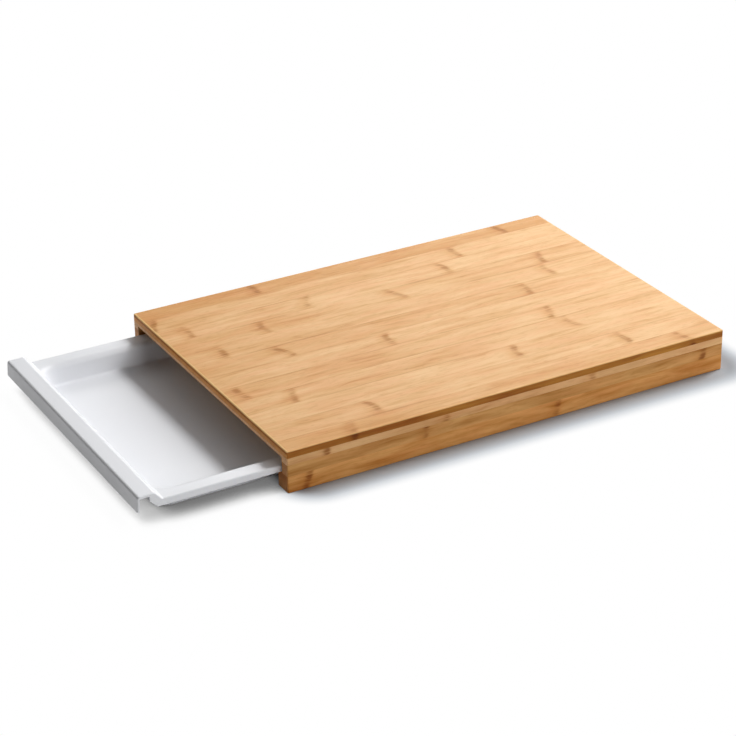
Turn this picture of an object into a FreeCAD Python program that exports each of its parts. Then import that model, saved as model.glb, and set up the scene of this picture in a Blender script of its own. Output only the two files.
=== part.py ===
"""Bamboo cutting board with a white moulded drawer tray under it.

The board is glued up from bamboo strips: a top ply, a core ply, two side rails and a rear
rail. Each side rail has a narrow upper lamination on a wider lower one, which leaves a ledge
along its inner side. The tray's rims turn down to skirts that slide on the two ledges, and a
channel in the core ply makes room for its raised front plate. Millimetres, +Z up. +X runs
along the board, from the open front end to the rear, and +Y runs across it, from the near side
to the far side. The origin is under the middle of the whole thing, on the table, with the
drawer partly open.
"""
import FreeCAD, Part
import math
import os

V = FreeCAD.Vector

# Panel: two plies of bamboo strips, all running along the board
board_length = 380.0
strip_width = 22.7          # a full strip
full_strips = 10            # full strips in each ply
slim_edge_strip = 17.1      # trimmed strip: near edge of the top ply, far edge of the core ply
wide_edge_strip = 19.0      # trimmed strip: far edge of the top ply, near edge of the core ply
top_ply = 5.6
core_ply = 5.6

# Side rails, each of two laminations. The top of the wider lower one is the tray's ledge.
rail_lower_width = 14.2
rail_lower_height = 13.4
rail_upper_width = 8.3
rail_upper_height = 9.1
channel_depth = 3.2         # up into the core ply, between the two upper laminations

# Rear rail
rear_rail_thickness = 14.2

# Sanded edges of the glued board
corner_round = 1.2
top_round = 0.9
foot_round = 0.7

# Drawer tray: one moulding of even wall
tray_wall = 1.7
slide_gap = 0.3             # skirt to ledge, and lip to rail end when shut
side_play = 1.2             # skirt to upper lamination, each side
head_room = 0.9             # front plate to channel ceiling
rear_play = 1.5             # rear rim to rear rail when shut
skirt_height = 5.1          # side rims, turned down to the ledges
skirt_set = 9.2             # front end of the skirts, behind the lip's face
skirt_cut = 5.5             # sloped ends of the skirts
rim_width = 10.3            # flat of a side rim
rear_rim_width = 7.0        # flat of the rear rim
plate_depth = 13.3          # flat of the raised front plate, from the lip to the step
step_run = 5.4              # step from the front plate down to the side rims
step_round = 2.6
lip_height = 12.6           # lip turned down from the front plate
lip_lean = 4.0              # degrees, outwards
lip_round = 2.2
lip_corner_round = 1.6
mouth_round = 5.0           # rims into the pan's walls
pan_draft = 12.0            # degrees, walls from upright
table_gap = 0.8             # pan underside to table
pan_corner_round = 12.0     # inside, at the floor
pan_floor_round = 2.0       # inside, floor to wall
rim_corner_round = 5.0
rim_edge_round = 1.0
drawer_out = 109.6          # how far the drawer stands open
same_place = 0.001          # two places closer than this are one

# Derived sizes of the board
board_width = slim_edge_strip + full_strips * strip_width + wide_edge_strip
rail_height = rail_lower_height + rail_upper_height
core_top = rail_height + core_ply
board_height = core_top + top_ply
channel_top = rail_height + channel_depth

# Derived sizes of the tray
lean = math.tan(math.radians(lip_lean))
draft = math.tan(math.radians(pan_draft))
skirt_foot = rail_lower_height + slide_gap
rim_top = skirt_foot + skirt_height
plate_top = channel_top - head_room
lip_bottom = plate_top - lip_height
lip_thickness = tray_wall / math.cos(math.radians(lip_lean))
floor_top = table_gap + tray_wall
mouth_set = mouth_round * math.tan(math.radians(90 - pan_draft) / 2)

# Places along X and Y
lip_set = slide_gap + lip_thickness - (plate_top - rail_lower_height) * lean
lip_reach = drawer_out + lip_set + lip_height * lean
front = lip_reach - (board_length + lip_reach) / 2
rear = front + board_length
near = -board_width / 2
far = board_width / 2
lip_x = front - drawer_out - lip_set
tray_rear = rear - rear_rail_thickness - rear_play - drawer_out
tray_near = near + rail_upper_width + side_play
tray_far = far - rail_upper_width - side_play


def block(x0, x1, y0, y1, z0, z1):
    """A box from its lowest to its highest corner."""
    return Part.makeBox(x1 - x0, y1 - y0, z1 - z0, V(x0, y0, z0))


def along_x(points, x0, x1):
    """A prism along X from a (y, z) outline."""
    corners = [V(x0, y, z) for y, z in points]
    face = Part.Face(Part.makePolygon(corners + corners[:1]))
    return face.extrude(V(x1 - x0, 0, 0))


def edges_where(shape, test):
    """The edges of a shape whose whole bounding box passes the test."""
    return [edge for edge in shape.Edges if test(edge.BoundBox)]


def near_value(a, b):
    return abs(a - b) < same_place


# ---------------------------------------------------------------- the board

def sanded_blank():
    """The outline of the glued board: upright corners, top and foot edges eased."""
    blank = block(front, rear, near, far, 0, board_height)
    upright = edges_where(blank, lambda b: near_value(b.ZLength, board_height))
    blank = blank.makeFillet(corner_round, upright)
    crown = edges_where(blank, lambda b: near_value(b.ZMin, board_height))
    blank = blank.makeFillet(top_round, crown)
    foot = edges_where(blank, lambda b: near_value(b.ZMax, 0))
    return blank.makeFillet(foot_round, foot)


def strip_lines(first_width):
    """The glue lines across a ply, from the near side to the far side."""
    inner = [near + first_width + i * strip_width for i in range(full_strips + 1)]
    return [near] + inner + [far]


def ply_strips(ply, name, first_width):
    """Cut a ply into its strips, numbered from the near side."""
    lines = strip_lines(first_width)
    box = ply.BoundBox
    strips = {}
    for i in range(len(lines) - 1):
        slab = block(front, rear, lines[i], lines[i + 1], box.ZMin, box.ZMax)
        strips[f"{name}_strip_{i + 1:02d}"] = ply.common(slab)
    return strips


def core_blank():
    """The core ply with the drawer's channel cut up into it."""
    ply = block(front, rear, near, far, rail_height, core_top)
    side = board_width / 2 - rail_upper_width
    return ply.cut(block(front, rear, -side, side, rail_height, channel_top))


def side_rail(side):
    """Upper and lower laminations of a side rail. side is -1 near, +1 far."""
    outer = side * board_width / 2

    def lamination(width, z0, z1):
        inner = outer - side * width
        return block(front, rear, min(outer, inner), max(outer, inner), z0, z1)

    upper = lamination(rail_upper_width, rail_lower_height, rail_height)
    return upper, lamination(rail_lower_width, 0, rail_lower_height)


def rear_rail():
    """Rear rail between the side rails. Its upper half fills the channel as well."""
    x0 = rear - rear_rail_thickness
    low_side = board_width / 2 - rail_lower_width
    high_side = board_width / 2 - rail_upper_width
    lower = block(x0, rear, -low_side, low_side, 0, rail_lower_height)
    upper = block(x0, rear, -high_side, high_side, rail_lower_height, channel_top)
    return upper, lower


def board_pieces():
    blank = sanded_blank()
    top = block(front, rear, near, far, core_top, board_height)
    pieces = ply_strips(top, "top", slim_edge_strip)
    pieces.update(ply_strips(core_blank(), "core", wide_edge_strip))
    pieces["near_rail_upper"], pieces["near_rail_lower"] = side_rail(-1)
    pieces["far_rail_upper"], pieces["far_rail_lower"] = side_rail(1)
    pieces["rear_rail_upper"], pieces["rear_rail_lower"] = rear_rail()
    return {name: piece.common(blank) for name, piece in pieces.items()}


# ---------------------------------------------------------------- the drawer tray

def offset_points(points, distance):
    """An open (x, z) path moved sideways, to its right as it runs."""
    lines = []
    for (x0, z0), (x1, z1) in zip(points, points[1:]):
        length = math.hypot(x1 - x0, z1 - z0)
        nx = (z1 - z0) / length * distance
        nz = -(x1 - x0) / length * distance
        lines.append(((x0 + nx, z0 + nz), (x1 + nx, z1 + nz)))
    moved = [lines[0][0]]
    for (a, b), (c, d) in zip(lines, lines[1:]):
        ux, uz = b[0] - a[0], b[1] - a[1]
        vx, vz = d[0] - c[0], d[1] - c[1]
        t = ((c[0] - a[0]) * vz - (c[1] - a[1]) * vx) / (ux * vz - uz * vx)
        moved.append((a[0] + t * ux, a[1] + t * uz))
    return moved + [lines[-1][1]]


def rounded_path(points, radii):
    """Edges along an open (x, z) path, with an arc of its radius at each inner point."""
    def at(p):
        return V(p[0], 0, p[1])
    edges = []
    start = at(points[0])
    for i, radius in enumerate(radii, 1):
        corner = at(points[i])
        back = (at(points[i - 1]) - corner).normalize()
        ahead = (at(points[i + 1]) - corner).normalize()
        half = back.getAngle(ahead) / 2
        reach = radius / math.tan(half)
        enter = corner + back * reach
        leave = corner + ahead * reach
        bisector = (back + ahead).normalize()
        middle = corner + bisector * (radius / math.sin(half) - radius)
        edges.append(Part.LineSegment(start, enter).toShape())
        edges.append(Part.Arc(enter, middle, leave).toShape())
        start = leave
    edges.append(Part.LineSegment(start, at(points[-1])).toShape())
    return edges


def ribbon_line():
    """Outer face of the lip, front plate, step and rims, from the lip's foot to the rear."""
    return [
        (lip_x - lip_height * lean, lip_bottom),
        (lip_x, plate_top),
        (lip_x + plate_depth, plate_top),
        (lip_x + plate_depth + step_run, rim_top),
        (tray_rear, rim_top),
    ]


def ribbon_edges(distance):
    """The ribbon line moved into the wall by a distance, with its bends rounded to match."""
    radii = [lip_round - distance, step_round - distance, step_round + distance]
    return rounded_path(offset_points(ribbon_line(), distance), radii)


def closed_prism(edges):
    """Close a path with straight lines and extrude it across the tray."""
    wire = Part.Wire(edges)
    face = Part.Face(wire)
    prism = face.extrude(V(0, tray_far - tray_near, 0))
    prism.translate(V(0, tray_near, 0))
    return prism


def line(a, b):
    return Part.LineSegment(a, b).toShape()


def ribbon():
    """The bent sheet that makes the lip, the front plate and the rims, still uncut."""
    outer = ribbon_edges(0)
    inner = ribbon_edges(tray_wall)
    foot = line(outer[0].Vertexes[0].Point, inner[0].Vertexes[0].Point)
    tail = line(outer[-1].Vertexes[-1].Point, inner[-1].Vertexes[-1].Point)
    sheet = closed_prism(outer + [tail] + inner[::-1] + [foot])
    lip_ends = edges_where(sheet, lambda b: b.ZMax < lip_bottom + tray_wall
                           and b.YLength < lip_thickness / 2
                           and b.XLength > tray_wall / 2)
    sheet = sheet.makeFillet(lip_corner_round, lip_ends)
    rear_ends = edges_where(sheet, lambda b: b.XMin > tray_rear - tray_wall / 2
                            and b.YLength < tray_wall / 2)
    return sheet.makeFillet(rim_corner_round, rear_ends)


def below_ribbon():
    """Everything under the middle of the ribbon's thickness, from the plate to the rear."""
    middle = ribbon_edges(tray_wall / 2)[2:]
    first = middle[0].Vertexes[0].Point
    last = middle[-1].Vertexes[-1].Point
    low_first = V(first.x, 0, 0)
    low_last = V(last.x, 0, 0)
    sides = [line(last, low_last), line(low_last, low_first), line(low_first, first)]
    return closed_prism(middle + sides)


def skirts():
    """The turned-down sides of the rims, which stand on the ledges."""
    x0 = lip_x + skirt_set
    x1 = tray_rear - rim_corner_round
    shoulder = skirt_foot + skirt_cut
    outline = [
        V(x0, tray_near, plate_top),
        V(x0, tray_near, shoulder),
        V(x0 + skirt_cut, tray_near, skirt_foot),
        V(x1 - skirt_cut, tray_near, skirt_foot),
        V(x1, tray_near, shoulder),
        V(x1, tray_near, plate_top),
    ]
    near_skirt = Part.Face(Part.makePolygon(outline + outline[:1])).extrude(V(0, tray_wall, 0))
    far_skirt = near_skirt.translated(V(0, tray_far - tray_near - tray_wall, 0))
    return near_skirt.fuse(far_skirt).common(below_ribbon())


def pan_block(grow, z0, z1, floor_round):
    """A pan with drafted walls and conical corners. grow moves its walls outwards."""
    def bounds(z):
        out = grow + (z - floor_top) * draft
        mouth = (rim_top - floor_top) * draft
        plate = (plate_top - floor_top) * draft
        x0 = lip_x + plate_depth + mouth_set + plate - out
        x1 = tray_rear - rear_rim_width - mouth_set - mouth + out
        y0 = tray_near + rim_width + mouth_set + mouth - out
        y1 = tray_far - rim_width - mouth_set - mouth + out
        return x0, x1, y0, y1, pan_corner_round + out

    ax0, ax1, ay0, ay1, r0 = bounds(z0)
    bx0, bx1, by0, by1, r1 = bounds(z1)
    cx0, cx1, cy0, cy1 = ax0 + r0, ax1 - r0, ay0 + r0, ay1 - r0
    pan = along_x([(ay0, z0), (ay1, z0), (by1, z1), (by0, z1)], cx0, cx1)
    ends = [V(ax0, cy0, z0), V(ax1, cy0, z0), V(bx1, cy0, z1), V(bx0, cy0, z1)]
    face = Part.Face(Part.makePolygon(ends + ends[:1]))
    parts = [face.extrude(V(0, cy1 - cy0, 0))]
    for x in (cx0, cx1):
        for y in (cy0, cy1):
            parts.append(Part.makeCone(r0, r1, z1 - z0, V(x, y, z0)))
    pan = pan.multiFuse(parts).removeSplitter()
    floor_edges = edges_where(pan, lambda b: near_value(b.ZMax, z0))
    return pan.makeFillet(floor_round, floor_edges)


def mouth_edges(tray, z):
    """Edges of the pan's mouth on its far side. Their rounding runs on round the mouth."""
    return edges_where(tray, lambda b: near_value(b.ZMin, z) and near_value(b.ZMax, z)
                       and b.YMin > 0 and b.YMax < tray_far - rim_width)


def outer_rim_edges(tray):
    """Upper outer edges of the two side rims. Their rounding runs on round the tray."""
    return edges_where(tray, lambda b: near_value(b.ZMin, rim_top)
                       and near_value(b.ZMax, rim_top)
                       and (near_value(b.YMin, tray_far) or near_value(b.YMax, tray_near)))


def drawer_tray():
    """The tray: a drafted pan hung from its rims, with a raised front plate and lip."""
    wall_across = tray_wall / math.cos(math.radians(pan_draft))
    above = plate_top + tray_wall
    outer = pan_block(wall_across, table_gap, above, pan_floor_round + tray_wall)
    inner = pan_block(0, floor_top, above, pan_floor_round)
    tray = ribbon().fuse([outer.common(below_ribbon()), skirts()]).cut(inner).removeSplitter()
    tray = tray.makeFillet(mouth_round - tray_wall, mouth_edges(tray, rim_top - tray_wall))
    tray = tray.makeFillet(mouth_round, mouth_edges(tray, rim_top))
    return tray.makeFillet(rim_edge_round, outer_rim_edges(tray))


# ---------------------------------------------------------------- write every piece

def main():
    pieces = board_pieces()
    pieces["drawer_tray"] = drawer_tray()
    os.makedirs("parts", exist_ok=True)
    for name, shape in pieces.items():
        solid = shape.Solids[0]
        problem = len(shape.Solids) != 1 or not solid.isValid()
        print(name, "PROBLEM" if problem else "ok", round(solid.Volume / 1000, 1), "cm3")
        solid.exportStep(f"parts/{name}.step")


main()
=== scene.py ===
"""Looks of the bamboo cutting board with its white drawer tray. Metres, in the frame's axes."""
import math

import bpy
from mathutils import Matrix, Vector


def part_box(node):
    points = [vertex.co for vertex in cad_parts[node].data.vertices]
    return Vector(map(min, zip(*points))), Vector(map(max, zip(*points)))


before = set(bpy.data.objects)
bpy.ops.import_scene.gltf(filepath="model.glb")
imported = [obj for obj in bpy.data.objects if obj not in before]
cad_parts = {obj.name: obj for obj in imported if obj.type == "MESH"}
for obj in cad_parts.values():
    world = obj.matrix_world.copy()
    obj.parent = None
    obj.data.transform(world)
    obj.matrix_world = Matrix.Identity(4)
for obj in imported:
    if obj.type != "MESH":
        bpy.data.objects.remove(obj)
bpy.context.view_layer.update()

# ---------------------------------------------------------------- places read from the frame

board_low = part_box("near_rail_lower")[0]
board_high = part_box("top_strip_12")[1]
board_middle = (board_low + board_high) / 2

# ---------------------------------------------------------------- view of the photograph

# The camera looks at a point given from the board's low near corner at the open end.
AIM = Vector((0.1288, 0.1137, 0.0168))
AZIMUTH = math.radians(-28.76)
ELEVATION = math.radians(26.97)
ROLL = math.radians(-1.0)
DISTANCE = 1.7953
LENS = 114.45

# ---------------------------------------------------------------- bamboo: tones and knuckles

# Each top strip, from the near side: its tone at the open end and at the rear, from light (0)
# to dark (1), and its knuckles as shares of the board's length. Every strip is darker at the
# open end than at the rear, partly its own colour and partly painted shade for the weaker light
# there.
TOP_STRIPS = [
    (0.75, 0.45, [0.155, 0.92]),
    (0.50, 0.15, [0.23, 0.81]),
    (0.45, 0.25, [0.59]),
    (0.60, 0.15, [0.12, 0.765]),
    (0.62, 0.22, [0.036, 0.745]),
    (0.52, 0.15, [0.40]),
    (0.65, 0.32, [0.195, 0.765]),
    (0.55, 0.25, [0.08, 0.86]),
    (0.62, 0.25, [0.21, 0.52, 0.88]),
    (0.38, 0.12, [0.063, 0.34, 0.675]),
    (0.55, 0.30, [0.014, 0.735]),
    (1.00, 0.90, [0.27, 0.885]),
]
# The core strips lean darker towards the open end in the same way, partly as painted shade.
CORE_TONES_AND_SHADE = (0.50, 0.35)
NEAR_CORE_KNUCKLES = [0.085, 0.35, 0.68]
# The other core strips have two knuckles each, spread from strip to strip by the golden section.
CORE_KNUCKLES_APART = 0.5
GOLDEN = 0.618
# The rails lean darker towards their low end in the same way, partly as painted shade.
RAIL_TONES_AND_SHADE = (0.55, 0.40)
RAIL_KNUCKLES = {
    "near_rail_upper": [0.30, 0.955],
    "near_rail_lower": [0.046, 0.605],
    "far_rail_upper": [0.18, 0.71],
    "far_rail_lower": [0.41, 0.87],
    "rear_rail_upper": [0.22, 0.81],
    "rear_rail_lower": [0.57],
}
# Seed of the first piece of each kind. The next pieces count on from it.
TOP_SEED = 1.0
CORE_SEED = 21.0
RAIL_SEED = 41.0

# ---------------------------------------------------------------- bamboo: colours

# Colours of one kind of strip: level faces from light to dark, upright faces along the strip
# from light to dark, and end grain with its denser skin side, which lies uppermost
TOP_FINISH = {
    "light": (0.855, 0.555, 0.282), "dark": (0.675, 0.342, 0.118),
    "side_light": (0.48, 0.21, 0.034), "side_dark": (0.28, 0.086, 0.011),
    "end": (0.80, 0.37, 0.11), "end_skin": (0.50, 0.135, 0.006),
}
CORE_FINISH = {
    "light": (0.79, 0.475, 0.215), "dark": (0.60, 0.32, 0.12),
    "side_light": (0.785, 0.49, 0.236), "side_dark": (0.59, 0.31, 0.126),
    "end": (0.92, 0.55, 0.29), "end_skin": (0.89, 0.51, 0.26),
}
UPPER_RAIL_FINISH = {
    "light": (0.62, 0.31, 0.09), "dark": (0.42, 0.17, 0.03),
    "side_light": (0.67, 0.370, 0.132), "side_dark": (0.41, 0.172, 0.038),
    "end": (0.70, 0.33, 0.13), "end_skin": (0.60, 0.26, 0.09),
}
LOWER_RAIL_FINISH = {
    "light": (0.62, 0.31, 0.09), "dark": (0.42, 0.17, 0.03),
    "side_light": (0.76, 0.41, 0.145), "side_dark": (0.47, 0.175, 0.030),
    "end": (0.66, 0.28, 0.09), "end_skin": (0.55, 0.20, 0.05),
}
# Colours that darken those above where they multiply them
PINK_CLOUD = (1.0, 0.93, 0.92)
STREAK_BROWN = (0.84, 0.74, 0.58)
FIBRE_BROWN = (0.80, 0.71, 0.58)
BOW_BROWN = (0.61, 0.47, 0.24)      # a knuckle's bow on level faces
BOW_DARK = (0.40, 0.24, 0.12)       # and on upright ones
STAIN_ORANGE = (0.80, 0.61, 0.37)
GLUE_BROWN = (0.76, 0.65, 0.48)
BUNDLE_BROWN = (0.45, 0.36, 0.30)

# ---------------------------------------------------------------- bamboo: grain

# A noise here is its waves per metre along X, Y and Z, its detail and its roughness. Where a
# piece's grain runs along Y, its X and Y trade places first.
FIBRE_NOISES = {
    "Fibres": ((45.0, 900.0, 900.0), 3.0, 0.6),
    "Flecks": ((130.0, 620.0, 620.0), 2.0, 0.6),
    "Streaks": ((14.0, 190.0, 190.0), 3.0, 0.6),
    "Hues": ((24.0, 120.0, 120.0), 2.0, 0.5),
}
CLOUD_NOISE = ((13.0, 55.0, 55.0), 2.0, 0.5)
DRIFT_NOISE = ((14.0, 30.0, 30.0), 2.0, 0.5)
DRIFT = 0.010                       # width of the band in which a fibre wanders
SEED_STEP = (0.71, 0.137, 0.191)    # metres that the pattern moves by for each 1 of seed
NOISE_MEAN = 0.5

# Where a face begins to count as level and where it does in full, by the part of its normal
# that points up or down, and the same for end grain, by the part along the grain
LEVEL_FACE = (0.25, 0.75)
END_FACE = (0.6, 0.9)
# The colour runs from light to dark over this range of the tone with its painted shade, clouds
# and streaks added up.
TONE_RANGE = (0.3, 1.8)
CLOUD_WEIGHT = 1.1
LEVEL_STREAKS = 1.3
UPRIGHT_STREAKS = 2.2
# What darkens the grain: the noise, where it begins and where it is full, its most, its colour
GRAIN_SHADES = [
    ("Hues", 0.40, 0.65, 0.90, PINK_CLOUD),
    ("Streaks", 0.53, 0.72, 0.50, STREAK_BROWN),
    ("Fibres", 0.50, 0.75, 0.35, FIBRE_BROWN),
    ("Flecks", 0.50, 0.72, 0.40, FIBRE_BROWN),
]

# ---------------------------------------------------------------- bamboo: knuckles

# Metres along the grain from a knuckle's place: where its dark bow begins and is full, and
# where it begins to fade and is gone. Its stain has the same four.
BOW_BEGINS = (-0.0068, -0.0010)
BOW_FADES = (-0.0005, 0.0034)
STAIN_BEGINS = (-0.017, -0.001)
STAIN_FADES = (-0.001, 0.006)
# A knuckle winds along the grain within a band of this width, in waves per metre across it.
WINDING = 0.009
WINDING_WAVES = 48.0
WINDING_DETAIL = 0.6
WINDING_SEED_STEP = 3.7
LEAN_MOST = 0.22                    # metres along the grain for each metre across it
LEAN_STEP = 2.4                     # radians from one knuckle's lean to the next one's
KNUCKLE_SEED_STEP = 5.0
# Two noises break a knuckle up. Each range is where the noise weakens it most, where it leaves
# it whole, and what is left of it where it is weakest.
THREAD_NOISE = ((70.0, 620.0, 620.0), 2.0, 0.5)
PATCH_NOISE = ((30.0, 110.0, 110.0), 1.0, 0.5)
BOW_THREADS = (0.30, 0.60, 0.50)
BOW_PATCHES = (0.32, 0.62, 0.30)
STAIN_THREADS = (0.30, 0.65, 0.45)
BOW_MOST = 0.8                      # how strongly the colour of a bow shows
STAIN_MOST = 0.5                    # and that of a stain
BOW_EDGE = 0.0045                   # metres from a strip's long edge where its bows weaken
BOW_AT_EDGE = 0.35                  # what is left of them at the edge

# ---------------------------------------------------------------- bamboo: glue, ends and painted arris highlight

GLUE_WIDTH = 0.0020
GLUE_CLOUDS = (0.40, 0.68)          # the clouds where a glue line begins and where it is full
GLUE_MOST = 0.7                     # how strongly its colour shows
# The end grain's skin colour begins below the middle, by a share of the height, and is full
# this many metres below the top.
SKIN_BELOW_MIDDLE = 0.1
SKIN_DEPTH = 0.0015
# Fibre bundles in the end grain: cells per metre of a cell pattern, the distances from a
# cell's point, in cells, where its bundle begins and is full, and how dark that is
BUNDLE_CELLS = 1100.0
BUNDLE_RADII = (0.42, 0.22)
BUNDLE_MOST = 0.6
END_HUES = (0.40, 0.65, 0.5)        # the hues that darken the end grain, and by how much
# Colour of the painted highlight along the top's outline, its share at the open end and at the
# other three edges, how far in from the outline it is full and where it ends, and how far down
# from the top it is full. It ends twice as far down.
ARRIS_HIGHLIGHT = (1.0, 0.67, 0.28)
ARRIS_FRONT = 0.95
ARRIS_OTHERS = 0.35
ARRIS_FADE = (0.0006, 0.0018)
ARRIS_DEPTH = 0.0005

# ---------------------------------------------------------------- gloss and relief

BAMBOO_ROUGHNESS = (0.40, 0.54)
BAMBOO_SPECULAR = 0.1
BAMBOO_BUMP = {"Strength": 0.2, "Distance": 0.0003}
FIBRE_HEIGHT = 0.7                  # share of that distance
BOW_HEIGHT = -0.5                   # a bow lies a little deeper than the fibres beside it
GLOSS_NOISE = (0.3, 0.7)            # the noise where a surface is glossiest and least glossy

# ---------------------------------------------------------------- tray

TRAY_WHITE = (0.87, 0.885, 0.92)
TRAY_SHADE = (0.835, 0.85, 0.89)
TRAY_CLOUDS = ((14.0, 14.0, 14.0), 3.0, 0.5)
ORANGE_PEEL = ((1500.0, 1500.0, 1500.0), 1.0, 0.5)
SCUFFS = ((60.0, 900.0, 60.0), 2.0, 0.5)
SCUFF_NOISE = (0.6, 0.8)            # the noise where a scuff begins and where it is full
SCUFF_ROUGHNESS = 0.06              # what a scuff adds
TRAY_ROUGHNESS = (0.36, 0.44)
TRAY_SPECULAR = 0.4
TRAY_BUMP = {"Strength": 0.12, "Distance": 0.0001}

# ---------------------------------------------------------------- floor

FLOOR_HALF = 6.0
FLOOR_ALBEDO = 0.80
FLOOR_SEEN = 1.08                   # above 1, so that only shadow shows against the white
# Soft shade on the floor around the board, from a rectangle with round corners. It is set in
# from the board's low and high corners, or out where the number is negative.
BOARD_SHADE_LOW = Vector((0.008, -0.008, 0.0))
BOARD_SHADE_HIGH = Vector((-0.011, 0.006, 0.0))
BOARD_SHADE_CORNER = 0.020
BOARD_SHADE_FADE = 0.023            # metres out from the rectangle where the shade ends
BOARD_SHADE_DEEP = 0.40             # the floor's light where the shade is deepest
REAR_SHADE_DEEP = 0.30              # the same past the rear end, where the lamps are stronger
REAR_SHADE_BLEND = 0.010            # metres from the rear end within which the two blend
BOARD_SHADE_COOL = (0.92, 1.02, 1.14)
PAPER_FADE = 0.012                  # metres out from the rectangle where plain white takes over
# Soft shade under whatever stands or hangs close over the floor: how near that is, how open
# the place is where the shade is deepest and where it ends, and the floor's light at the deepest
CLOSE_REACH = 0.024
CLOSE_OPENNESS = (0.15, 0.92)
CLOSE_DEEP = 0.15
CLOSE_SAMPLES = 12

# ---------------------------------------------------------------- lights

AMBIENT = (1.0, 0.96, 0.92)
AMBIENT_STRENGTH = 0.050
LIGHT_COLOUR = (1.0, 0.995, 0.985)
LAMP_DISTANCE = 2.2
SMALL_LAMP = (0.45, 0.45)
LARGE_LAMP = (1.5, 0.8)
# Each lamp looks at the middle of the board: the way to it, its width and height, its watts
LAMPS = {
    "key": (Vector((0.80, 0.10, 1.0)), SMALL_LAMP, 30.6),
    "softbox": (Vector((1.20, 0.20, 1.0)), LARGE_LAMP, 8.2),
    "rear_softbox": (Vector((1.00, 1.20, 0.8)), LARGE_LAMP, 19.2),
    "fill": (Vector((0.30, -0.90, 0.5)), LARGE_LAMP, 18.7),
    "back": (Vector((-0.35, 0.85, 0.5)), LARGE_LAMP, 6.4),
}


# ================================================================ node trees


class Tree:
    """Short calls for building a node tree."""

    def __init__(self, tree):
        self.tree = tree

    def put(self, kind, settings=None, inputs=None):
        node = self.tree.nodes.new(kind)
        for name, value in (settings or {}).items():
            setattr(node, name, value)
        for key, value in (inputs or {}).items():
            self.feed(node.inputs[key], value)
        return node

    def feed(self, socket, value):
        if isinstance(value, bpy.types.NodeSocket):
            self.tree.links.new(value, socket)
        elif socket.type == "RGBA" and len(value) == 3:
            socket.default_value = (*value, 1.0)
        else:
            socket.default_value = value

    def math(self, operation, a, b=0.0, c=0.0):
        inputs = {0: a, 1: b, 2: c}
        return self.put("ShaderNodeMath", {"operation": operation}, inputs).outputs[0]

    def vector_math(self, operation, a, b=(0.0, 0.0, 0.0)):
        node = self.put("ShaderNodeVectorMath", {"operation": operation}, {0: a, 1: b})
        return node.outputs["Value" if operation == "LENGTH" else "Vector"]

    def combine(self, x, y, z):
        return self.put("ShaderNodeCombineXYZ", None, {0: x, 1: y, 2: z}).outputs[0]

    def separate(self, vector):
        return self.put("ShaderNodeSeparateXYZ", None, {0: vector}).outputs

    def grey(self, value):
        """A value as a colour."""
        inputs = {0: value, 1: value, 2: value}
        return self.put("ShaderNodeCombineColor", None, inputs).outputs[0]

    def ramp(self, value, low, high, start=0.0, end=1.0):
        """start at low, end at high, and smooth between them."""
        inputs = {0: value, 1: low, 2: high, 3: start, 4: end}
        node = self.put("ShaderNodeMapRange", {"interpolation_type": "SMOOTHSTEP"}, inputs)
        return node.outputs[0]

    def noise(self, vector, waves, detail, roughness):
        moved = self.put("ShaderNodeMapping", None, {"Vector": vector, "Scale": waves})
        inputs = {"Vector": moved.outputs[0], "Scale": 1.0, "Detail": detail,
                  "Roughness": roughness}
        return self.put("ShaderNodeTexNoise", None, inputs).outputs[0]

    def mix(self, factor, a, b, blend="MIX"):
        settings = {"data_type": "RGBA", "blend_type": blend}
        return self.put("ShaderNodeMix", settings, {0: factor, 6: a, 7: b}).outputs[2]

    def shade(self, colour, by, value, low=0.0, high=1.0, most=1.0):
        """A colour multiplied by another: not at all at low, and by its most at high."""
        return self.mix(self.ramp(value, low, high, 0.0, most), colour, by, "MULTIPLY")

    def seen_by(self, *kinds):
        """1 for these kinds of ray, and 0 for the others."""
        rays = self.put("ShaderNodeLightPath").outputs
        seen = 0.0
        for kind in kinds:
            seen = self.math("MAXIMUM", seen, rays[f"Is {kind} Ray"])
        return seen


def new_group(name, inputs, outputs):
    """An empty node group with its sockets, its input node and its output node."""
    group = bpy.data.node_groups.new(name, "ShaderNodeTree")
    for label, kind in inputs.items():
        group.interface.new_socket(name=label, in_out="INPUT", socket_type=kind)
    for label in outputs:
        group.interface.new_socket(name=label, in_out="OUTPUT", socket_type="NodeSocketFloat")
    tree = Tree(group)
    return group, tree, tree.put("NodeGroupInput"), tree.put("NodeGroupOutput")


def new_material(name):
    material = bpy.data.materials.new(name)
    material.use_nodes = True
    return material


# ================================================================ bamboo


def make_grain_group():
    """Noises of the grain along X. Seed moves them to a new place."""
    sockets = {"Vector": "NodeSocketVector", "Seed": "NodeSocketFloat"}
    group, tree, source, result = new_group("bamboo_grain", sockets, [*FIBRE_NOISES, "Clouds"])
    seed = source.outputs["Seed"]
    away = tree.combine(*[tree.math("MULTIPLY", seed, step) for step in SEED_STEP])
    moved = tree.vector_math("ADD", source.outputs["Vector"], away)
    # Fibres wander a little sideways as they run.
    drift = tree.math("MULTIPLY_ADD", tree.noise(moved, *DRIFT_NOISE), DRIFT, -DRIFT / 2)
    wandering = tree.vector_math("ADD", moved, tree.combine(0.0, drift, drift))
    for label, noise in FIBRE_NOISES.items():
        tree.feed(result.inputs[label], tree.noise(wandering, *noise))
    tree.feed(result.inputs["Clouds"], tree.noise(moved, *CLOUD_NOISE))
    return group


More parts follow.
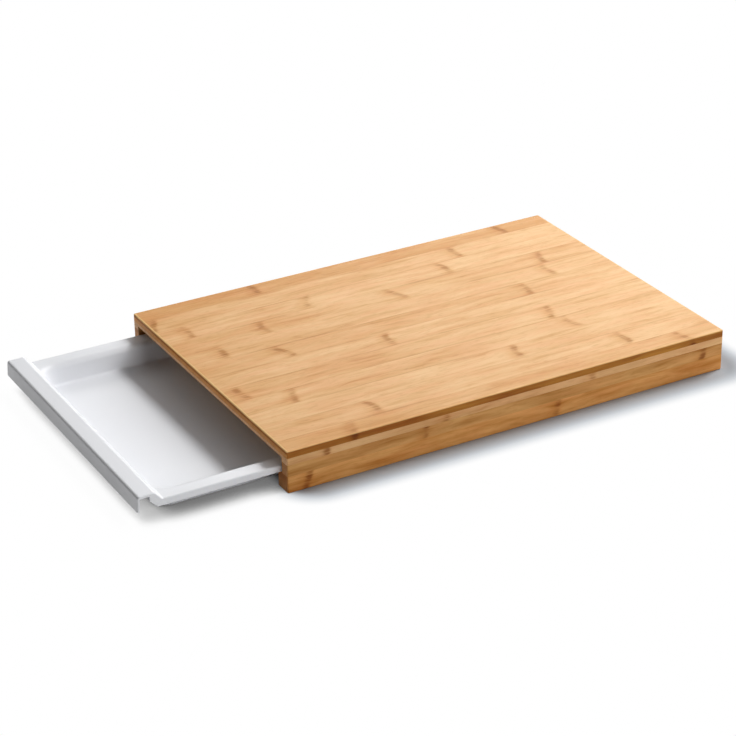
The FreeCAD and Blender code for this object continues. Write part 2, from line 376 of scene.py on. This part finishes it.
def make_knuckle_group():
    """One knuckle across a strip: a soft dark bow, and a warm stain around it."""
    sockets = {"Vector": "NodeSocketVector", "Across": "NodeSocketFloat",
               "Place": "NodeSocketFloat", "Lean": "NodeSocketFloat",
               "Seed": "NodeSocketFloat"}
    group, tree, source, result = new_group("bamboo_knuckle", sockets, ["Bow", "Stain"])
    vector = source.outputs["Vector"]
    across = source.outputs["Across"]
    start = tree.math("MULTIPLY", source.outputs["Seed"], WINDING_SEED_STEP)
    w = tree.math("MULTIPLY_ADD", across, WINDING_WAVES, start)
    wave = tree.put("ShaderNodeTexNoise", {"noise_dimensions": "1D"},
                    {"W": w, "Scale": 1.0, "Detail": WINDING_DETAIL}).outputs[0]
    winding = tree.math("MULTIPLY_ADD", wave, WINDING, -WINDING / 2)
    lean = tree.math("MULTIPLY", across, source.outputs["Lean"])
    gap = tree.math("SUBTRACT", tree.separate(vector)[0], source.outputs["Place"])
    gap = tree.math("SUBTRACT", gap, tree.math("ADD", winding, lean))

    def band(begins, fades):
        before = tree.ramp(gap, *begins)
        after = tree.ramp(gap, *fades, 1.0, 0.0)
        return tree.math("MULTIPLY", before, after)

    threads = tree.noise(vector, *THREAD_NOISE)
    patches = tree.noise(vector, *PATCH_NOISE)
    bow = tree.math("MULTIPLY", band(BOW_BEGINS, BOW_FADES), tree.ramp(threads, *BOW_THREADS))
    bow = tree.math("MULTIPLY", bow, tree.ramp(patches, *BOW_PATCHES))
    stain = band(STAIN_BEGINS, STAIN_FADES)
    stain = tree.math("MULTIPLY", stain, tree.ramp(threads, *STAIN_THREADS))
    tree.feed(result.inputs["Bow"], bow)
    tree.feed(result.inputs["Stain"], stain)
    return group


grain_group = make_grain_group()
knuckle_group = make_knuckle_group()


class StripTree(Tree):
    """The node tree of one strip or lamination, with its grain along X (0) or Y (1)."""

    def __init__(self, material, node, seed, along):
        super().__init__(material.node_tree)
        self.seed = seed
        self.along = along
        self.low, self.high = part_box(node)
        self.middle = (self.low + self.high) / 2
        side = 1 - along
        self.half_width = (self.high[side] - self.low[side]) / 2

        coordinates = self.put("ShaderNodeTexCoord").outputs
        self.xyz = self.separate(coordinates["Object"])
        normal = self.separate(coordinates["Normal"])
        self.level = self.ramp(self.math("ABSOLUTE", normal[2]), *LEVEL_FACE)
        self.at_end = self.ramp(self.math("ABSOLUTE", normal[along]), *END_FACE)
        self.vector = self.combine(self.xyz[along], self.xyz[side], self.xyz[2])
        sideways = self.math("SUBTRACT", self.xyz[side], self.middle[side])
        upwards = self.math("SUBTRACT", self.xyz[2], self.middle.z)
        self.across = self.math("ADD", sideways, upwards)
        self.from_centre = self.math("ABSOLUTE", sideways)
        self.grain = self.put("ShaderNodeGroup", {"node_tree": grain_group},
                              {"Vector": self.vector, "Seed": seed}).outputs

    def near_edges(self, width, inside=0.0, at_edge=1.0):
        """inside, and at_edge at the strip's two long edges, over a width."""
        edge = self.half_width
        return self.ramp(self.from_centre, edge - width, edge, inside, at_edge)

    def grained(self, finish, tones_and_shade):
        """Light and dark mixed by the lean from end to end, partly painted shade, and by clouds
        and streaks, then darkened by finer grain.
        """
        along = self.along
        # The lean from the low end to the high end, partly the bamboo's colour and partly
        # painted shade
        tone_and_shade = self.put("ShaderNodeMapRange", None, {
            0: self.xyz[along], 1: board_low[along], 2: board_high[along],
            3: tones_and_shade[0], 4: tones_and_shade[1]}).outputs[0]
        clouds = self.math("MULTIPLY_ADD", self.grain["Clouds"], CLOUD_WEIGHT, tone_and_shade)
        streaks = self.math("SUBTRACT", self.grain["Streaks"], NOISE_MEAN)

        def mixed(light, dark, weight):
            depth = self.math("MULTIPLY_ADD", streaks, weight, clouds)
            return self.mix(self.ramp(depth, *TONE_RANGE), light, dark)

        upright = mixed(finish["side_light"], finish["side_dark"], UPRIGHT_STREAKS)
        level = mixed(finish["light"], finish["dark"], LEVEL_STREAKS)
        colour = self.mix(self.level, upright, level)
        for label, low, high, most, by in GRAIN_SHADES:
            colour = self.shade(colour, by, self.grain[label], low, high, most)
        return colour

    def knuckles(self, places):
        """How strong the bows and the stains of the strip's knuckles are, from 0 to 1."""
        first = board_low[self.along]
        length = board_high[self.along] - first
        bows = 0.0
        stains = 0.0
        for i, place in enumerate(places):
            inputs = {"Vector": self.vector, "Across": self.across,
                      "Place": first + place * length,
                      "Lean": LEAN_MOST * math.sin(LEAN_STEP * (i + self.seed)),
                      "Seed": self.seed + KNUCKLE_SEED_STEP * i}
            spot = self.put("ShaderNodeGroup", {"node_tree": knuckle_group}, inputs).outputs
            bows = self.math("MAXIMUM", bows, spot["Bow"])
            stains = self.math("MAXIMUM", stains, spot["Stain"])
        # On level faces the bows weaken towards the strip's long edges.
        kept = self.near_edges(BOW_EDGE, 1.0, BOW_AT_EDGE)
        upright = self.math("SUBTRACT", 1.0, self.level)
        bows = self.math("MULTIPLY", bows, self.math("MAXIMUM", kept, upright))
        return bows, stains

    def glued(self, colour):
        """The colour with glue lines at the strip's long edges, stronger in some stretches."""
        stretches = self.ramp(self.grain["Clouds"], *GLUE_CLOUDS, 0.0, GLUE_MOST)
        strength = self.math("MULTIPLY", stretches, self.level)
        glue = self.math("MULTIPLY", self.near_edges(GLUE_WIDTH), strength)
        return self.shade(colour, GLUE_BROWN, glue)

    def end_grain(self, finish):
        """Pale tissue dotted with dark fibre bundles, and darker towards the skin side."""
        skin_start = self.middle.z - SKIN_BELOW_MIDDLE * (self.high.z - self.low.z)
        skin = self.ramp(self.xyz[2], skin_start, self.high.z - SKIN_DEPTH)
        colour = self.mix(skin, finish["end"], finish["end_skin"])
        cells = self.put("ShaderNodeTexVoronoi", None,
                         {"Vector": self.vector, "Scale": BUNDLE_CELLS}).outputs["Distance"]
        colour = self.shade(colour, BUNDLE_BROWN, cells, *BUNDLE_RADII, BUNDLE_MOST)
        return self.shade(colour, STREAK_BROWN, self.grain["Hues"], *END_HUES)

    def sanded(self, colour):
        """The colour with a painted highlight along the top's outline, brightest at the open
        end.
        """
        x, y, z = self.xyz
        from_front = self.math("SUBTRACT", x, board_low.x)
        from_rear = self.math("SUBTRACT", board_high.x, x)
        from_near = self.math("SUBTRACT", y, board_low.y)
        from_far = self.math("SUBTRACT", board_high.y, y)
        from_sides = self.math("MINIMUM", from_near, from_far)
        from_others = self.math("MINIMUM", from_rear, from_sides)
        front = self.ramp(from_front, *ARRIS_FADE, ARRIS_FRONT, 0.0)
        others = self.ramp(from_others, *ARRIS_FADE, ARRIS_OTHERS, 0.0)
        top = board_high.z
        high_up = self.ramp(z, top - 2 * ARRIS_DEPTH, top - ARRIS_DEPTH)
        share = self.math("MULTIPLY", self.math("MAXIMUM", front, others), high_up)
        return self.mix(share, colour, ARRIS_HIGHLIGHT)


def bamboo(node, finish, tones_and_shade, places, seed, along=0):
    """Bamboo for one strip or lamination, with its grain along X (0) or Y (1).

    tones_and_shade lean its colour from light (0) to dark (1) at its low and at its high end,
    partly the bamboo's own colour and partly painted shade, and places are its knuckles' shares
    of the board's length or width.
    """
    material = new_material(f"bamboo_{node}")
    tree = StripTree(material, node, seed, along)
    bows, stains = tree.knuckles(places)
    colour = tree.grained(finish, tones_and_shade)
    colour = tree.shade(colour, STAIN_ORANGE, stains, most=STAIN_MOST)
    bow_colour = tree.mix(tree.level, BOW_DARK, BOW_BROWN)
    colour = tree.shade(colour, bow_colour, bows, most=BOW_MOST)
    colour = tree.glued(colour)
    colour = tree.mix(tree.at_end, colour, tree.end_grain(finish))
    # A painted highlight along the top's outline, brightest at the open end.
    colour = tree.sanded(colour)

    fibres = tree.grain["Fibres"]
    bow_height = tree.math("MULTIPLY", bows, BOW_HEIGHT)
    height = tree.math("MULTIPLY_ADD", fibres, FIBRE_HEIGHT, bow_height)
    bump = tree.put("ShaderNodeBump", None, {**BAMBOO_BUMP, "Height": height})
    shader = tree.tree.nodes["Principled BSDF"]
    tree.feed(shader.inputs["Base Color"], colour)
    tree.feed(shader.inputs["Roughness"], tree.ramp(fibres, *GLOSS_NOISE, *BAMBOO_ROUGHNESS))
    tree.feed(shader.inputs["Normal"], bump.outputs[0])
    shader.inputs["Specular IOR Level"].default_value = BAMBOO_SPECULAR
    return material


def dress(node, material):
    """Give a CAD node its material."""
    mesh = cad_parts[node].data
    mesh.materials.clear()
    mesh.materials.append(material)


def dress_board():
    # Each piece leans darker towards its low end, partly as painted shade.
    for i, (front_tone_and_shade, rear_tone_and_shade, places) in enumerate(TOP_STRIPS):
        node = f"top_strip_{i + 1:02d}"
        dress(node, bamboo(node, TOP_FINISH, (front_tone_and_shade, rear_tone_and_shade), places, TOP_SEED + i))
    for i in range(len(TOP_STRIPS)):
        node = f"core_strip_{i + 1:02d}"
        first = (i * GOLDEN) % 1.0 * CORE_KNUCKLES_APART
        places = NEAR_CORE_KNUCKLES if i == 0 else [first, first + CORE_KNUCKLES_APART]
        dress(node, bamboo(node, CORE_FINISH, CORE_TONES_AND_SHADE, places, CORE_SEED + i))
    for i, (node, places) in enumerate(RAIL_KNUCKLES.items()):
        finish = UPPER_RAIL_FINISH if node.endswith("upper") else LOWER_RAIL_FINISH
        along = 1 if node.startswith("rear") else 0
        dress(node, bamboo(node, finish, RAIL_TONES_AND_SHADE, places, RAIL_SEED + i, along))


# ================================================================ tray


def moulded_plastic():
    """White plastic with a moulding's faint orange peel and flow clouds, and light scuffs."""
    material = new_material("tray_plastic")
    tree = Tree(material.node_tree)
    vector = tree.put("ShaderNodeTexCoord").outputs["Object"]
    clouds = tree.noise(vector, *TRAY_CLOUDS)
    scuffs = tree.ramp(tree.noise(vector, *SCUFFS), *SCUFF_NOISE, 0.0, SCUFF_ROUGHNESS)
    roughness = tree.ramp(clouds, *GLOSS_NOISE, *TRAY_ROUGHNESS)
    peel = tree.noise(vector, *ORANGE_PEEL)
    bump = tree.put("ShaderNodeBump", None, {**TRAY_BUMP, "Height": peel})
    shader = tree.tree.nodes["Principled BSDF"]
    tree.feed(shader.inputs["Base Color"], tree.mix(clouds, TRAY_WHITE, TRAY_SHADE))
    tree.feed(shader.inputs["Roughness"], tree.math("ADD", roughness, scuffs))
    tree.feed(shader.inputs["Normal"], bump.outputs[0])
    shader.inputs["Specular IOR Level"].default_value = TRAY_SPECULAR
    return material


# ================================================================ floor, lights and camera


def from_board_shade(tree, place):
    """Distance of a place on the floor from the rectangle of the board's shade."""
    low = board_low + BOARD_SHADE_LOW
    high = board_high - BOARD_SHADE_HIGH
    half = (high - low) / 2 - Vector((BOARD_SHADE_CORNER, BOARD_SHADE_CORNER, 0.0))
    offset = tree.vector_math("SUBTRACT", place, (low + high) / 2)
    outside = tree.vector_math("SUBTRACT", tree.vector_math("ABSOLUTE", offset), half)
    outside = tree.vector_math("MAXIMUM", outside, (0.0, 0.0, 0.0))
    return tree.math("SUBTRACT", tree.vector_math("LENGTH", outside), BOARD_SHADE_CORNER)


def board_shade(tree, place, away):
    """The floor's light around the board, which is cooler where the shade is deeper."""
    x = tree.separate(place)[0]
    rear = board_high.x
    deep = tree.ramp(x, rear - REAR_SHADE_BLEND, rear + REAR_SHADE_BLEND,
                     BOARD_SHADE_DEEP, REAR_SHADE_DEEP)
    light = tree.ramp(away, 0.0, BOARD_SHADE_FADE, deep, 1.0)
    plain = tree.grey(light)
    cool = tree.mix(1.0, plain, BOARD_SHADE_COOL, "MULTIPLY")
    return tree.mix(light, cool, plain)


def close_shade(tree):
    """The floor's light under what is close over it, at any pose."""
    node = tree.put("ShaderNodeAmbientOcclusion", {"samples": CLOSE_SAMPLES},
                    {"Distance": CLOSE_REACH})
    return tree.grey(tree.ramp(node.outputs["AO"], *CLOSE_OPENNESS, CLOSE_DEEP, 1.0))


def make_floor():
    """White paper that keeps the shadow close to the object and is plain white beyond."""
    bpy.ops.mesh.primitive_plane_add(size=2 * FLOOR_HALF)
    floor = bpy.context.object
    floor.name = "floor"
    material = new_material("floor_paper")
    tree = Tree(material.node_tree)
    tree.tree.nodes.remove(tree.tree.nodes["Principled BSDF"])
    place = tree.put("ShaderNodeTexCoord").outputs["Object"]
    away = from_board_shade(tree, place)
    shade = tree.mix(1.0, board_shade(tree, place, away), close_shade(tree), "DARKEN")

    seen = tree.seen_by("Camera", "Glossy", "Transmission")
    seen_colour = tree.mix(1.0, (FLOOR_SEEN,) * 3, shade, "MULTIPLY")
    paper_colour = tree.mix(seen, (FLOOR_ALBEDO,) * 3, seen_colour)
    paper = tree.put("ShaderNodeBsdfDiffuse", None, {"Color": paper_colour})
    plain = tree.put("ShaderNodeEmission", None, {"Color": shade, "Strength": 1.0})
    far = tree.math("MULTIPLY", tree.ramp(away, 0.0, PAPER_FADE), seen)
    both = tree.put("ShaderNodeMixShader", None,
                    {0: far, 1: paper.outputs[0], 2: plain.outputs[0]})
    tree.feed(tree.tree.nodes["Material Output"].inputs["Surface"], both.outputs[0])
    floor.data.materials.append(material)


def make_world():
    """Dim warm light from all round, and plain white where the camera sees past the floor."""
    world = bpy.data.worlds.new("studio")
    bpy.context.scene.world = world
    world.use_nodes = True
    tree = Tree(world.node_tree)
    ambient = tree.tree.nodes["Background"]
    tree.feed(ambient.inputs["Color"], AMBIENT)
    ambient.inputs["Strength"].default_value = AMBIENT_STRENGTH
    white = tree.put("ShaderNodeBackground", None, {"Color": (1.0, 1.0, 1.0), "Strength": 1.0})
    seen = tree.seen_by("Camera", "Transmission")
    both = tree.put("ShaderNodeMixShader", None,
                    {0: seen, 1: ambient.outputs[0], 2: white.outputs[0]})
    tree.feed(tree.tree.nodes["World Output"].inputs["Surface"], both.outputs[0])


def make_lamp(name, way, size, power):
    data = bpy.data.lights.new(name, "AREA")
    data.shape = "RECTANGLE"
    data.size, data.size_y = size
    data.energy = power
    data.color = LIGHT_COLOUR
    lamp = bpy.data.objects.new(name, data)
    lamp.location = board_middle + way.normalized() * LAMP_DISTANCE
    lamp.rotation_mode = "QUATERNION"
    lamp.rotation_quaternion = (-way).to_track_quat("-Z", "Y")
    bpy.context.collection.objects.link(lamp)


def make_camera():
    flat = math.cos(ELEVATION)
    back = Vector((math.sin(AZIMUTH) * flat, -math.cos(AZIMUTH) * flat, math.sin(ELEVATION)))
    right = Vector((0, 0, 1)).cross(back).normalized()
    up = back.cross(right)
    rolled_right = math.cos(ROLL) * right + math.sin(ROLL) * up
    rolled_up = math.cos(ROLL) * up - math.sin(ROLL) * right
    data = bpy.data.cameras.new("camera")
    data.lens = LENS
    camera = bpy.data.objects.new("camera", data)
    turn = Matrix((rolled_right, rolled_up, back)).transposed().to_4x4()
    camera.matrix_world = Matrix.Translation(board_low + AIM + back * DISTANCE) @ turn
    bpy.context.collection.objects.link(camera)
    bpy.context.scene.camera = camera


dress_board()
dress("drawer_tray", moulded_plastic())
make_floor()
make_world()
for lamp_name, lamp in LAMPS.items():
    make_lamp(lamp_name, *lamp)
make_camera()
bpy.context.scene.view_settings.view_transform = "Standard"
